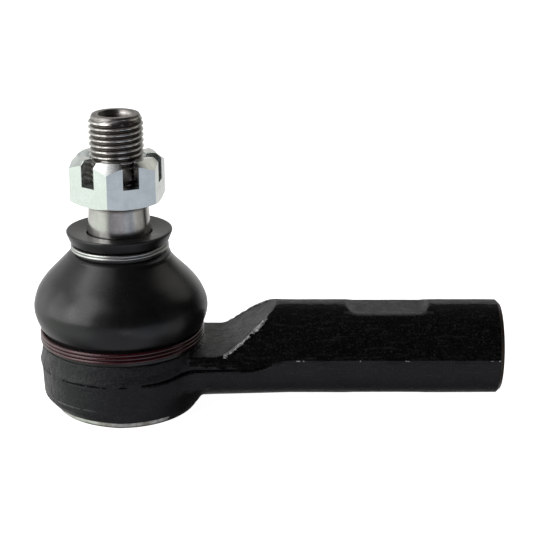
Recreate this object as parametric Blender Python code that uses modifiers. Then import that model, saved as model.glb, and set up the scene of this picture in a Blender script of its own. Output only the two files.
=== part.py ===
"""Outer tie rod end: forged housing with a ball stud, dust boot and castle nut.

The frame stands on the centre of the end cap's underside. +Z runs up the stud
and +X runs along the threaded shank. Lengths below are millimetres.
"""

import math

import bmesh
import bpy
from mathutils import Matrix, Vector

MM = 0.001

# Ball joint
BALL_R = 10.0
BALL_Z = 12.0
BALL_FLAT_Z = 3.5
SEAT_GAP = 0.3
BORE_R = 13.4
SEAT_R = 13.0
SHOULDER_Z = 17.2
MOUTH_R = 9.9

# Housing head, neck and shank
HEAD_FLASH_R = 18.8
HEAD_FLASH_Z = 10.3
HEAD_TOP_R = 18.25
HEAD_TOP_Z = 15.0
HEAD_BASE_R = 17.9
HEAD_BASE_Z = 1.4
SPIGOT_R = 15.4
SPIGOT_Z = 18.7
SHANK_R = 10.7
SHANK_Z = 13.0
SHANK_END = 85.6
NECK_START = 14.0
NECK_ROOT_R = 11.35
NECK_TAPER_END = 38.0
NECK_FLAT_Z = 14.6
NECK_BEND_X = 23.2
NECK_TOP_X = 34.8
FLAT_DISTANCE = 9.5
FLAT_X = (49.8, 70.0)
FILLET_R = 6.0

# Threads
STUD_THREAD_R = 6.0
STUD_PITCH = 1.25
SHANK_THREAD_R = 7.0
SHANK_PITCH = 1.5
BORE_DEPTH = 44.0
SHANK_THREAD_LENGTH = 30.0

# Stud
STUD_END = 67.2
TAPER_R = 7.0
TAPER_R_AT = 41.0
TAPER_SLOPE = 0.0625
TAPER_END = 47.7
THREAD_START = 49.8
PIN_HOLE_R = 1.6
PIN_HOLE_Z = 54.6

# Castle nut
NUT_BASE = 48.0
NUT_TOP = 58.1
NUT_FLATS = 19.0
NUT_CROWN_R = 9.2
NUT_FOOT_R = 9.9
NUT_BORE_R = 6.35
NUT_SINK_R = 7.0
NUT_CORNER = math.radians(-96.7)
SLOT_WIDTH = 3.6
SLOT_FLOOR = 52.4

# Boot and its wire rings
BOOT_SKIRT_R = 17.4
BOOT_LIP_R = 7.6
LOWER_WIRE_R = 0.4
LOWER_RING_R = 18.15
LOWER_RING_BASE = 15.75
LOWER_RING_PITCH = 0.86
LOWER_RING_TURNS = 2.6
UPPER_WIRE_R = 0.32
UPPER_RING_R = 10.6
UPPER_RING_BASE = 36.45
UPPER_RING_PITCH = 0.68
UPPER_RING_TURNS = 1.75

HEAD_STEPS = 60
ROUND_STEPS = 40
STUD_STEPS = 28
THREAD_STEPS = 24
WIRE_STEPS = 32


def clear_scene():
    for item in list(bpy.data.objects):
        bpy.data.objects.remove(item, do_unlink=True)


def collection(name):
    made = bpy.data.collections.new(name)
    bpy.context.scene.collection.children.link(made)
    return made


def material(name, colour, metallic, roughness):
    made = bpy.data.materials.new(name)
    made.use_nodes = True
    shader = made.node_tree.nodes["Principled BSDF"]
    shader.inputs["Base Color"].default_value = (*colour, 1.0)
    shader.inputs["Metallic"].default_value = metallic
    shader.inputs["Roughness"].default_value = roughness
    made.diffuse_color = (*colour, 1.0)
    return made


def place(name, bm, home, hidden=False):
    """Turn a bmesh drawn in millimetres into an object in metres."""
    bmesh.ops.scale(bm, vec=(MM, MM, MM), verts=bm.verts)
    bmesh.ops.recalc_face_normals(bm, faces=bm.faces)
    mesh = bpy.data.meshes.new(name)
    bm.to_mesh(mesh)
    bm.free()
    made = bpy.data.objects.new(name, mesh)
    home.objects.link(made)
    if hidden:
        made.hide_render = True
        made.display_type = "WIRE"
    return made


def revolve(name, profile, steps, home, hidden=False):
    """Spin an (r, z) profile about Z; it is closed unless both ends lie on the axis."""
    mesh = bpy.data.meshes.new(name)
    count = len(profile)
    open_ended = profile[0][0] == 0 and profile[-1][0] == 0
    edges = [(i, i + 1) for i in range(count - 1)]
    if not open_ended:
        edges.append((count - 1, 0))
    mesh.from_pydata([(r * MM, 0, z * MM) for r, z in profile], edges, [])
    made = bpy.data.objects.new(name, mesh)
    home.objects.link(made)
    screw = made.modifiers.new("Screw", "SCREW")
    screw.steps = steps
    screw.render_steps = steps
    screw.use_merge_vertices = True
    screw.merge_threshold = 0.000001
    apply_modifiers(made)
    if hidden:
        made.hide_render = True
        made.display_type = "WIRE"
    return made


def prism(name, outline, low, high, axis, home, hidden=True):
    """Extrude an outline: (x, y) points along Z, or (x, z) points along Y."""
    bm = bmesh.new()
    if axis == "Z":
        points = [(x, y, low) for x, y in outline]
        travel = (0, 0, high - low)
    else:
        points = [(x, low, z) for x, z in outline]
        travel = (0, high - low, 0)
    face = bm.faces.new([bm.verts.new(p) for p in points])
    grown = bmesh.ops.extrude_face_region(bm, geom=[face], use_keep_orig=True)
    moved = [g for g in grown["geom"] if isinstance(g, bmesh.types.BMVert)]
    bmesh.ops.translate(bm, vec=travel, verts=moved)
    return place(name, bm, home, hidden)


def cylinder(name, radius, start, end, direction, steps, home, hidden=True, turn=0.0):
    """A round bar between two points that lie along a direction from an origin."""
    start = Vector(start)
    end = Vector(end)
    length = (end - start).length
    spin = Vector((0, 0, 1)).rotation_difference(Vector(direction)).to_matrix().to_4x4()
    where = Matrix.Translation((start + end) / 2) @ spin @ Matrix.Rotation(turn, 4, "Z")
    bm = bmesh.new()
    bmesh.ops.create_cone(
        bm,
        cap_ends=True,
        segments=steps,
        radius1=radius,
        radius2=radius,
        depth=length,
        matrix=where,
    )
    return place(name, bm, home, hidden)


def coil(name, section, base, pitch, turns, steps, home, hidden=True, start=0.0):
    """Sweep a closed (r, z) section up a right-handed helix about Z."""
    bm = bmesh.new()
    corners = [bm.verts.new((r, 0, z + base)) for r, z in section]
    face = bm.faces.new(corners)
    bmesh.ops.rotate(bm, cent=(0, 0, 0), matrix=Matrix.Rotation(start, 3, "Z"), verts=corners)
    count = round(turns * steps)
    bmesh.ops.spin(
        bm,
        geom=[face, *face.edges, *corners],
        cent=(0, 0, 0),
        axis=(0, 0, 1),
        dvec=(0, 0, pitch / steps),
        angle=math.tau * turns,
        steps=count,
        use_duplicate=False,
    )
    return place(name, bm, home, hidden)


def thread_section(outer, pitch, reach, depth=None):
    """The V groove of a 60 degree thread, opening outwards past its crest."""
    half = math.tan(math.radians(30))
    depth = 0.6134 * pitch if depth is None else depth
    root = outer - depth
    low = pitch / 16 + 0.02
    high = low + half * (depth + reach)
    return [(root, -low), (outer + reach, -high), (outer + reach, high), (root, low)]


def inner_thread_section(minor, pitch, reach):
    """The V groove of an inside thread, opening inwards past its crest."""
    half = math.tan(math.radians(30))
    depth = 0.5413 * pitch
    low = pitch / 16 + 0.02
    high = low + half * (depth + reach)
    return [(minor - reach, -high), (minor + depth, -low), (minor + depth, low), (minor - reach, high)]


def apply_modifiers(item):
    graph = bpy.context.evaluated_depsgraph_get()
    mesh = bpy.data.meshes.new_from_object(item.evaluated_get(graph))
    item.modifiers.clear()
    item.data = mesh


def combine(item, tool, operation):
    step = item.modifiers.new(operation.title(), "BOOLEAN")
    step.operation = operation
    step.object = tool
    step.solver = "EXACT"
    apply_modifiers(item)


def bevel(item, width, segments, angle):
    step = item.modifiers.new("Bevel", "BEVEL")
    step.width = width * MM
    step.segments = segments
    step.limit_method = "ANGLE"
    step.angle_limit = math.radians(angle)
    apply_modifiers(item)


def lay_along_x(item, height):
    """Turn a body drawn about Z so that its +Z becomes +X, at a given height."""
    item.data.transform(Matrix.Rotation(math.radians(90), 4, "Y"))
    item.data.transform(Matrix.Translation((0, 0, height * MM)))


def finish(item, look, origin=(0, 0, 0)):
    """Shade, colour and put the object's own origin on its joint axis."""
    item.data.materials.clear()
    item.data.materials.append(look)
    item.data.shade_smooth()
    item.data.set_sharp_from_angle(angle=math.radians(35))
    shift = Vector(origin) * MM
    item.data.transform(Matrix.Translation(-shift))
    item.location = shift


def smooth_path(points, per_span):
    """Catmull-Rom curve through a list of (r, z) points."""
    ends = [points[0], *points, points[-1]]
    path = []
    for a, b, c, d in zip(ends, ends[1:], ends[2:], ends[3:]):
        for i in range(per_span):
            t = i / per_span
            path.append(
                tuple(
                    0.5 * (2 * q + (r - p) * t + (2 * p - 5 * q + 4 * r - s) * t**2)
                    + 0.5 * (3 * q - p - 3 * r + s) * t**3
                    for p, q, r, s in zip(a, b, c, d)
                )
            )
    path.append(points[-1])
    return path


def ball_arc(radius, low, high, count):
    """Points on a sphere about the ball centre, from one height to another."""
    first = math.asin((low - BALL_Z) / radius)
    last = math.asin((high - BALL_Z) / radius)
    arc = []
    for i in range(count + 1):
        angle = first + (last - first) * i / count
        arc.append((radius * math.cos(angle), BALL_Z + radius * math.sin(angle)))
    return arc


def build_housing(home, tools, look):
    head = revolve(
        "housing",
        [
            (MOUTH_R + 0.7, SPIGOT_Z),
            (SPIGOT_R - 0.4, SPIGOT_Z),
            (SPIGOT_R, SPIGOT_Z - 0.4),
            (SPIGOT_R, HEAD_TOP_Z),
            (HEAD_TOP_R - 0.5, HEAD_TOP_Z),
            (HEAD_TOP_R, HEAD_TOP_Z - 0.5),
            (HEAD_FLASH_R - 0.1, HEAD_FLASH_Z + 0.3),
            (HEAD_FLASH_R, HEAD_FLASH_Z),
            (HEAD_FLASH_R - 0.1, HEAD_FLASH_Z - 0.3),
            (HEAD_BASE_R, HEAD_BASE_Z + 1.1),
            (HEAD_BASE_R - 0.35, HEAD_BASE_Z + 0.35),
            (HEAD_BASE_R - 1.0, HEAD_BASE_Z),
            (BORE_R, HEAD_BASE_Z),
            (BORE_R, SHOULDER_Z),
            (MOUTH_R, SHOULDER_Z),
        ],
        HEAD_STEPS,
        home,
    )
    blank = [
        (0, SHANK_END),
        (SHANK_R, SHANK_END),
        (SHANK_R, NECK_TAPER_END),
        (NECK_ROOT_R, NECK_START),
        (0, NECK_START),
    ]
    shank = revolve("shank_blank", blank, ROUND_STEPS, tools, hidden=True)
    lay_along_x(shank, SHANK_Z)
    slope = (SHANK_Z + SHANK_R - NECK_FLAT_Z) / (NECK_TOP_X - NECK_BEND_X)
    rise = NECK_TOP_X + 6
    bend = [
        (NECK_START - 4, NECK_FLAT_Z),
        (NECK_BEND_X - 2.0, NECK_FLAT_Z),
        (NECK_BEND_X - 0.3, NECK_FLAT_Z + 0.3),
        (NECK_BEND_X + 1.4, NECK_FLAT_Z + 1.4 * slope),
        (rise, NECK_FLAT_Z + (rise - NECK_BEND_X) * slope),
        (NECK_START - 4, NECK_FLAT_Z + (rise - NECK_BEND_X) * slope),
    ]
    combine(shank, prism("neck_cut", bend, -20, 20, "Y", tools), "DIFFERENCE")
    bevel(shank, 0.9, 2, 32)

    first, last = FLAT_X
    scallop = [(0.0, 2.6), (0.6, 1.35), (1.5, 0.45), (2.7, 0.0)]
    outline = [(first + x, FLAT_DISTANCE + z) for x, z in scallop]
    outline += [(last - x, FLAT_DISTANCE + z) for x, z in reversed(scallop)]
    for side in (1, -1):
        edge = [(x, SHANK_Z + side * z) for x, z in outline]
        flat = prism(f"spanner_flat_cut_{side}", edge, -12, 12, "Y", tools)
        combine(shank, flat, "DIFFERENCE")

    combine(head, shank, "UNION")
    for side in (1, -1):
        combine(head, build_fillet(side, tools), "UNION")

    bore_end = SHANK_END - BORE_DEPTH
    minor = SHANK_THREAD_R - 0.5413 * SHANK_PITCH
    bore = revolve(
        "shank_bore_cut",
        [
            (0, SHANK_END + 2),
            (SHANK_THREAD_R + 2.3, SHANK_END + 2),
            (minor, SHANK_END - 1.1),
            (minor, bore_end),
            (0, bore_end - minor / math.tan(math.radians(59))),
        ],
        THREAD_STEPS,
        tools,
        hidden=True,
    )
    lay_along_x(bore, SHANK_Z)
    combine(head, bore, "DIFFERENCE")
    groove = coil(
        "shank_thread_cut",
        inner_thread_section(minor, SHANK_PITCH, 0.12),
        SHANK_END - SHANK_THREAD_LENGTH,
        SHANK_PITCH,
        (SHANK_THREAD_LENGTH + 1.5) / SHANK_PITCH,
        THREAD_STEPS,
        tools,
    )
    lay_along_x(groove, SHANK_Z)
    combine(head, groove, "DIFFERENCE")
    finish(head, look)


def build_fillet(side, tools):
    """The web that blends one side of the neck into the head."""
    reach = HEAD_TOP_R + FILLET_R
    neck_y = SHANK_R - 0.35
    centre_y = neck_y + FILLET_R
    centre_x = math.sqrt(reach**2 - centre_y**2)
    first = math.atan2(-centre_y, -centre_x)
    last = -math.pi / 2
    arc = []
    for i in range(7):
        angle = first + (last - first) * i / 6
        x = centre_x + FILLET_R * math.cos(angle)
        y = centre_y + FILLET_R * math.sin(angle)
        arc.append((x, y))
    outline = [(centre_x, neck_y - 3), (NECK_START + 0.5, neck_y - 3), (arc[0][0] - 0.8, arc[0][1] - 1.2)]
    outline = [(x, side * y) for x, y in [*outline, *arc]]
    web = prism(f"neck_web_{side}", outline, 5.2, 13.2, "Z", tools)
    return web


def build_stud(home, tools, look):
    def taper(z):
        return TAPER_R - TAPER_SLOPE * (z - TAPER_R_AT)

    neck = [(5.8, 20.9), (5.8, 25.0), (6.3, 27.5), (7.1, 30.0), (7.6, 32.5), (7.6, 34.5), (taper(35.5), 35.5)]
    top_of_ball = BALL_Z + math.sqrt(BALL_R**2 - 5.95**2)
    profile = [(0, BALL_FLAT_Z), *ball_arc(BALL_R, BALL_FLAT_Z, top_of_ball, 14), *neck]
    profile += [
        (taper(TAPER_END), TAPER_END),
        (5.2, TAPER_END + 0.9),
        (5.2, THREAD_START - 0.7),
        (STUD_THREAD_R, THREAD_START),
        (STUD_THREAD_R, STUD_END - 1.0),
        (STUD_THREAD_R - 1.0, STUD_END),
        (3.2, STUD_END),
        (1.7, STUD_END - 2.4),
        (0, STUD_END - 2.7),
    ]
    stud = revolve("ball_stud", list(reversed(profile)), STUD_STEPS, home)
    hole_angle = NUT_CORNER + math.radians(30)
    along = (math.cos(hole_angle), math.sin(hole_angle), 0)
    ends = [(s * 8 * along[0], s * 8 * along[1], PIN_HOLE_Z) for s in (-1, 1)]
    groove = coil(
        "stud_thread_cut",
        thread_section(STUD_THREAD_R, STUD_PITCH, 0.07),
        THREAD_START - 0.35,
        STUD_PITCH,
        (STUD_END + 0.8 - THREAD_START) / STUD_PITCH,
        STUD_STEPS,
        tools,
    )
    combine(stud, groove, "DIFFERENCE")
    combine(stud, cylinder("pin_hole_cut", PIN_HOLE_R, *ends, along, 20, tools), "DIFFERENCE")
    finish(stud, look, (0, 0, BALL_Z))


def build_nut(home, tools, look):
    corner_r = NUT_FLATS / math.sqrt(3)
    nut = cylinder(
        "castle_nut",
        corner_r,
        (0, 0, NUT_BASE),
        (0, 0, NUT_TOP),
        (0, 0, 1),
        6,
        home,
        hidden=False,
        turn=NUT_CORNER - math.radians(30),
    )
    middle = (NUT_BASE + NUT_TOP) / 2
    slope = math.tan(math.radians(30))
    rim = [
        (0, NUT_TOP),
        (NUT_CROWN_R, NUT_TOP),
        (corner_r + 1, NUT_TOP - (corner_r + 1 - NUT_CROWN_R) * slope),
        (corner_r + 1, NUT_BASE + (corner_r + 1 - NUT_FOOT_R) * slope),
        (NUT_FOOT_R, NUT_BASE),
        (0, NUT_BASE),
    ]
    combine(nut, revolve("nut_rim", rim, ROUND_STEPS, tools, hidden=True), "INTERSECT")
    bore = [
        (0, NUT_TOP + 1),
        (NUT_SINK_R + 1.6, NUT_TOP + 1),
        (NUT_BORE_R, NUT_TOP - 0.4),
        (NUT_BORE_R, NUT_BASE + 0.7),
        (NUT_SINK_R, NUT_BASE),
        (NUT_SINK_R, NUT_BASE - 1),
        (0, NUT_BASE - 1),
    ]
    combine(nut, revolve("nut_bore_cut", bore, THREAD_STEPS, tools, hidden=True), "DIFFERENCE")
    groove = coil(
        "nut_thread_cut",
        inner_thread_section(NUT_BORE_R, STUD_PITCH, 0.1),
        NUT_BASE - 0.6,
        STUD_PITCH,
        (NUT_TOP - NUT_BASE + 1.2) / STUD_PITCH,
        THREAD_STEPS,
        tools,
    )
    combine(nut, groove, "DIFFERENCE")
    half = SLOT_WIDTH / 2
    for i in range(3):
        angle = NUT_CORNER + math.radians(30 + 60 * i)
        outline = []
        for along, across in ((-14, -half), (14, -half), (14, half), (-14, half)):
            x = along * math.cos(angle) - across * math.sin(angle)
            y = along * math.sin(angle) + across * math.cos(angle)
            outline.append((x, y))
        slot = prism(f"nut_slot_cut_{i}", outline, SLOT_FLOOR, NUT_TOP + 1, "Z", tools)
        combine(nut, slot, "DIFFERENCE")
    finish(nut, look, (0, 0, middle))


def build_boot(home, look):
    outer = smooth_path(
        [
            (17.85, 18.75),
            (18.65, 19.9),
            (19.35, 22.0),
            (19.55, 23.8),
            (19.3, 25.5),
            (18.45, 27.8),
            (16.85, 30.1),
            (14.9, 32.2),
            (12.95, 34.2),
            (11.6, 35.6),
        ],
        2,
    )
    inner = smooth_path(
        [
            (9.4, 35.6),
            (11.0, 34.4),
            (13.9, 31.5),
            (15.9, 29.4),
            (17.3, 27.2),
            (18.05, 25.2),
            (18.25, 23.8),
            (18.0, 22.2),
            (17.3, 20.4),
            (16.5, 19.3),
        ],
        1,
    )
    flange = [(9.95, 35.8), (9.95, 38.25), (11.0, 38.6), (11.65, 40.4), (11.9, 40.9), (11.7, 41.2)]
    profile = [(BOOT_SKIRT_R, 15.35), (BOOT_SKIRT_R, 18.7), *outer, *flange]
    profile += [(9.6, 40.95), (BOOT_LIP_R, 40.7), (BOOT_LIP_R, 36.4), *inner, (15.75, 18.7), (15.75, 15.35)]
    boot = revolve("boot", list(reversed(profile)), ROUND_STEPS, home)
    finish(boot, look)


def build_wire(name, wire_r, ring_r, base, pitch, turns, start, home, look, origin):
    """A clamp ring coiled from round wire."""
    sides = 6
    section = []
    for i in range(sides):
        angle = math.tau * i / sides
        section.append((ring_r + wire_r * math.cos(angle), wire_r * math.sin(angle)))
    ring = coil(name, section, base, pitch, turns, WIRE_STEPS, home, hidden=False, start=start)
    finish(ring, look, origin)


def build_inner_parts(home, looks):
    seat_r = BALL_R + SEAT_GAP
    lower = [(SEAT_R, 11.7), (SEAT_R, 3.9), (SEAT_R - 0.3, 3.7), *ball_arc(seat_r, 4.3, 11.7, 6)]
    lower.insert(3, (lower[3][0], 3.7))
    finish(revolve("lower_seat", lower, ROUND_STEPS, home), looks["pom"])
    top = SHOULDER_Z - 0.35
    upper = [(SEAT_R, top), (SEAT_R, 12.1), *ball_arc(seat_r, 12.1, top - 0.05, 5)]
    upper.append((upper[-1][0], top))
    finish(revolve("upper_seat", upper, ROUND_STEPS, home), looks["pom"])
    spring = [(6.4, 3.35), (12.6, 2.55), (12.6, 1.95), (6.4, 2.75)]
    finish(revolve("preload_spring", spring, ROUND_STEPS, home), looks["spring_steel"])
    cap = [(0, 1.6), (12.7, 1.6), (12.9, 1.1), (16.2, 1.1), (16.5, 0.8), (16.5, 0.35), (16.15, 0), (0, 0)]
    finish(revolve("end_cap", cap, HEAD_STEPS, home), looks["zinc_plate"])


def main():
    clear_scene()
    home = collection("tie_rod_end")
    tools = collection("cutters")
    looks = {
        "forged_black": material("forged_black", (0.018, 0.018, 0.02), 0.0, 0.45),
        "bare_steel": material("bare_steel", (0.56, 0.56, 0.57), 1.0, 0.3),
        "zinc_plate": material("zinc_plate", (0.72, 0.75, 0.76), 1.0, 0.28),
        "rubber": material("rubber", (0.022, 0.022, 0.023), 0.0, 0.5),
        "lacquered_wire": material("lacquered_wire", (0.12, 0.012, 0.025), 0.4, 0.3),
        "plated_wire": material("plated_wire", (0.7, 0.71, 0.7), 1.0, 0.3),
        "pom": material("pom", (0.75, 0.74, 0.7), 0.0, 0.4),
        "spring_steel": material("spring_steel", (0.2, 0.21, 0.23), 1.0, 0.35),
    }
    build_housing(home, tools, looks["forged_black"])
    build_stud(home, tools, looks["bare_steel"])
    build_nut(home, tools, looks["zinc_plate"])
    build_boot(home, looks["rubber"])
    build_wire(
        "boot_lower_ring",
        LOWER_WIRE_R,
        LOWER_RING_R,
        LOWER_RING_BASE,
        LOWER_RING_PITCH,
        LOWER_RING_TURNS,
        math.radians(70),
        home,
        looks["lacquered_wire"],
        (0, 0, 0),
    )
    build_wire(
        "boot_upper_ring",
        UPPER_WIRE_R,
        UPPER_RING_R,
        UPPER_RING_BASE,
        UPPER_RING_PITCH,
        UPPER_RING_TURNS,
        math.radians(-15),
        home,
        looks["plated_wire"],
        (0, 0, BALL_Z),
    )
    build_inner_parts(home, looks)


main()
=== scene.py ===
import math

import bmesh
import bpy
import numpy as np
from mathutils import Matrix, Vector, noise


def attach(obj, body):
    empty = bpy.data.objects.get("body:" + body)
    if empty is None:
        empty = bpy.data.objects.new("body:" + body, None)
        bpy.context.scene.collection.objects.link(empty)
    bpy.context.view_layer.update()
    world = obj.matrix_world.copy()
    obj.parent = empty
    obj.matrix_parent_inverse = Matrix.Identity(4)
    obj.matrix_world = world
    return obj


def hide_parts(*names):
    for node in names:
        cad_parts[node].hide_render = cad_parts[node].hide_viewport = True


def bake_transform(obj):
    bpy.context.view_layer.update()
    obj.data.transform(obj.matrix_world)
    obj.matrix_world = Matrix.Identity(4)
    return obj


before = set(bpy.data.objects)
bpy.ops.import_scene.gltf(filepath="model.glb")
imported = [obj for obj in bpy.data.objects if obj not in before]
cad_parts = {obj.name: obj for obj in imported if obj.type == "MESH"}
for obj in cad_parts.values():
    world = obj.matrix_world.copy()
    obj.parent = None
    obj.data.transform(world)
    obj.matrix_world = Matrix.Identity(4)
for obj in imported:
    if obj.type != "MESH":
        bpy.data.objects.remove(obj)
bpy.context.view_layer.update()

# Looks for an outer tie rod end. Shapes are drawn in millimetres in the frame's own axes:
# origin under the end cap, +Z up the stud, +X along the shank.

MM = 0.001
TAU = math.tau

# Joint and housing
BALL_Z = 12.0
BALL_R = 10.0
SHANK_R = 10.7
SHANK_Z = 13.0
SHANK_END = 85.6
END_CHAMFER = 0.9
NECK_FLAT_Z = 14.6
NECK_BEND_X = 23.2
NECK_TOP_X = 34.8
FLAT_DISTANCE = 9.5
FLAT_X = (49.8, 70.0)
SHANK_THREAD_R = 7.0
SHANK_PITCH = 1.5
NECK_SLOPE = (SHANK_Z + SHANK_R - NECK_FLAT_Z) / (NECK_TOP_X - NECK_BEND_X)
SEAM_DROP = 0.34
VOXEL = 0.315
RELAX_STEPS = 9

# Stud and nut
STUD_END = 67.2
STUD_R = 6.0
STUD_PITCH = 1.25
NUT_BASE = 48.0
NUT_TOP = 58.1
NUT_FLATS = 19.0
NUT_CORNER = math.radians(-96.7)
SLOT_WIDTH = 3.6
SLOT_FLOOR = 52.4
PIN_HOLE_R = 1.6
PIN_HOLE_Z = 54.6

# Camera
LENS = 97.7
CAMERA_DISTANCE = 0.3263
CAMERA_ELEVATION = math.radians(19.0)
CAMERA_TARGET = (0.03303, 0, 0.03175)

# Studio light: direction, full inside and nothing outside these angles in degrees, colour
STUDIO_BASE = (0.018, 0.018, 0.018)
STUDIO = [
    ((-0.90, -0.32, -0.28), 14, 42, (0.84, 0.92, 0.84)),
    ((-0.60, 0.70, -0.38), 10, 50, (0.76, 0.78, 0.76)),
    ((0.69, -0.65, -0.33), 10, 32, (0.31, 0.35, 0.40)),
    ((0.22, 0.92, -0.33), 10, 45, (0.7, 0.71, 0.69)),
    ((0.95, -0.08, -0.32), 8, 32, (0.42, 0.42, 0.40)),
    ((0.0, 0.95, 0.33), 14, 36, (0.46, 0.455, 0.44)),
    ((0.0, -0.72, -0.69), 28, 54, (0.42, 0.42, 0.46)),
    ((0.216, -0.919, -0.326), 2, 6, (1.6, 1.55, 1.5)),
    ((-0.42, -0.05, 0.90), 8, 30, (0.6, 0.6, 0.6)),
    ((-0.65, 0.45, 0.50), 12, 38, (0.5, 0.52, 0.5)),
    ((0.63, 0.47, 0.62), 8, 26, (0.62, 0.61, 0.55)),
    ((-0.90, 0.36, 0.05), 6, 24, (0.6, 0.6, 0.6)),
]


# ---------------------------------------------------------------- mesh tools
def link(name, mesh):
    made = bpy.data.objects.new(name, mesh)
    bpy.context.scene.collection.objects.link(made)
    return made


def rounded(points, radii, steps=5, closed=True):
    """A polyline with its corners rounded, each by its own radius."""
    pts = [np.array(p, float) for p in points]
    count = len(pts)
    out = []
    for i, point in enumerate(pts):
        at_end = not closed and i in (0, count - 1)
        if at_end or radii[i] <= 0:
            out.append(point)
            continue
        back = pts[i - 1] - point
        on = pts[(i + 1) % count] - point
        lb, lo = np.linalg.norm(back), np.linalg.norm(on)
        cosine = np.clip(back @ on / (lb * lo), -1, 1)
        half = math.acos(cosine) / 2
        cut = min(radii[i] / max(math.tan(half), 1e-6), 0.48 * lb, 0.48 * lo)
        if half > math.radians(88):
            out.append(point)
            continue
        a, b = point + back / lb * cut, point + on / lo * cut
        for k in range(steps + 1):
            t = k / steps
            out.append((1 - t) ** 2 * a + 2 * t * (1 - t) * point + t * t * b)
    return np.array(out)


def densify(points, gap, closed=True):
    """Extra points so that no stretch is longer than the gap."""
    pts = np.asarray(points, float)
    out = []
    last = len(pts) if closed else len(pts) - 1
    for i in range(last):
        a, b = pts[i], pts[(i + 1) % len(pts)]
        n = max(1, math.ceil(np.linalg.norm(b - a) / gap))
        out += [a + (b - a) * k / n for k in range(n)]
    if not closed:
        out.append(pts[-1])
    return np.array(out)


def smooth_path(points, per_span):
    """Catmull-Rom curve through a list of points."""
    pts = [np.array(p, float) for p in points]
    ends = [pts[0], *pts, pts[-1]]
    out = []
    for p, q, r, s in zip(ends, ends[1:], ends[2:], ends[3:]):
        for k in range(per_span):
            t = k / per_span
            a = 2 * q + (r - p) * t + (2 * p - 5 * q + 4 * r - s) * t**2
            out.append(0.5 * (a + (3 * q - p - 3 * r + s) * t**3))
    out.append(pts[-1])
    return out


def lathe(name, profile, steps, closed=True, warp=None):
    """A body of revolution from (r, z) points, warped by a function of (angle, r, z)."""
    prof = np.asarray(profile, float)
    rows = len(prof)
    angle = np.arange(steps) * TAU / steps
    turn, radius = np.meshgrid(angle, prof[:, 0])
    height = np.repeat(prof[:, 1:2], steps, axis=1)
    if warp:
        radius, height = warp(turn, radius, height)
    verts = np.stack([radius * np.cos(turn), radius * np.sin(turn), height], -1)
    spans = rows if closed else rows - 1
    i, j = np.meshgrid(np.arange(spans), np.arange(steps), indexing="ij")
    k, m = (i + 1) % rows, (j + 1) % steps
    faces = np.stack([i * steps + j, i * steps + m, k * steps + m, k * steps + j], -1)
    mesh = bpy.data.meshes.new(name)
    mesh.from_pydata(
        (verts.reshape(-1, 3) * MM).tolist(), [], faces.reshape(-1, 4).tolist()
    )
    made = link(name, mesh)
    tidy_mesh(made)
    return made


def tidy_mesh(obj):
    """Welded, with no slivers and with its faces pointing out."""
    bm = bmesh.new()
    bm.from_mesh(obj.data)
    bmesh.ops.remove_doubles(bm, verts=bm.verts, dist=1e-7)
    bmesh.ops.dissolve_degenerate(bm, edges=bm.edges, dist=1e-8)
    bmesh.ops.recalc_face_normals(bm, faces=bm.faces)
    bm.to_mesh(obj.data)
    bm.free()


def prism(name, outline, low, high, axis="Z"):
    """A straight solid: (x, y) outline along Z, or (x, z) outline along Y."""
    bm = bmesh.new()
    if axis == "Z":
        verts = [bm.verts.new((x * MM, y * MM, low * MM)) for x, y in outline]
        travel = (0, 0, (high - low) * MM)
    else:
        verts = [bm.verts.new((x * MM, low * MM, z * MM)) for x, z in outline]
        travel = (0, (high - low) * MM, 0)
    face = bm.faces.new(verts)
    grown = bmesh.ops.extrude_face_region(bm, geom=[face], use_keep_orig=True)
    moved = [g for g in grown["geom"] if isinstance(g, bmesh.types.BMVert)]
    bmesh.ops.translate(bm, vec=travel, verts=moved)
    bmesh.ops.recalc_face_normals(bm, faces=bm.faces)
    mesh = bpy.data.meshes.new(name)
    bm.to_mesh(mesh)
    bm.free()
    return link(name, mesh)


def turned(angle, points):
    """Points turned about Z."""
    c, s = math.cos(angle), math.sin(angle)
    return [(x * c - y * s, x * s + y * c) for x, y in points]


def bake_modifiers(obj):
    """The object's modifiers become its mesh."""
    graph = bpy.context.evaluated_depsgraph_get()
    mesh = bpy.data.meshes.new_from_object(obj.evaluated_get(graph))
    obj.modifiers.clear()
    obj.data = mesh


def combine(obj, tool, operation="DIFFERENCE"):
    """Boolean with a tool object, which is used up."""
    step = obj.modifiers.new("Boolean", "BOOLEAN")
    step.operation = operation
    step.object = tool
    step.solver = "EXACT"
    bake_modifiers(obj)
    bpy.data.objects.remove(tool, do_unlink=True)


def bevel(obj, width, segments, angle):
    """Rounds the edges that are sharper than an angle in degrees."""
    step = obj.modifiers.new("Bevel", "BEVEL")
    step.width = width * MM
    step.segments = segments
    step.limit_method = "ANGLE"
    step.angle_limit = math.radians(angle)
    bake_modifiers(obj)


def flat_normals(obj, angle):
    """Large flat faces keep their own normal where a small bevel meets them."""
    smooth_shade(obj, angle)
    step = obj.modifiers.new("Weighted", "WEIGHTED_NORMAL")
    step.keep_sharp = True
    step.weight = 100
    bake_modifiers(obj)


def lay_along_x(obj, height):
    """A body turned about Z is laid along X at a height."""
    obj.data.transform(Matrix.Rotation(math.radians(90), 4, "Y"))
    obj.data.transform(Matrix.Translation((0, 0, height * MM)))


def smooth_shade(obj, angle=None):
    obj.data.shade_smooth()
    if angle:
        obj.data.set_sharp_from_angle(angle=math.radians(angle))


def thread_depth(turn, height, pitch, depth):
    """How far a right-hand thread is cut below its crest at each point."""
    phase = (height / pitch - turn / TAU) % 1.0
    reach = np.abs(phase - 0.5) * 2
    flank = np.clip((reach - 0.12) / 0.76, 0, 1)
    eased = flank * flank * (3 - 2 * flank)
    return depth * (1 - 0.55 * flank - 0.45 * eased)


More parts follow.
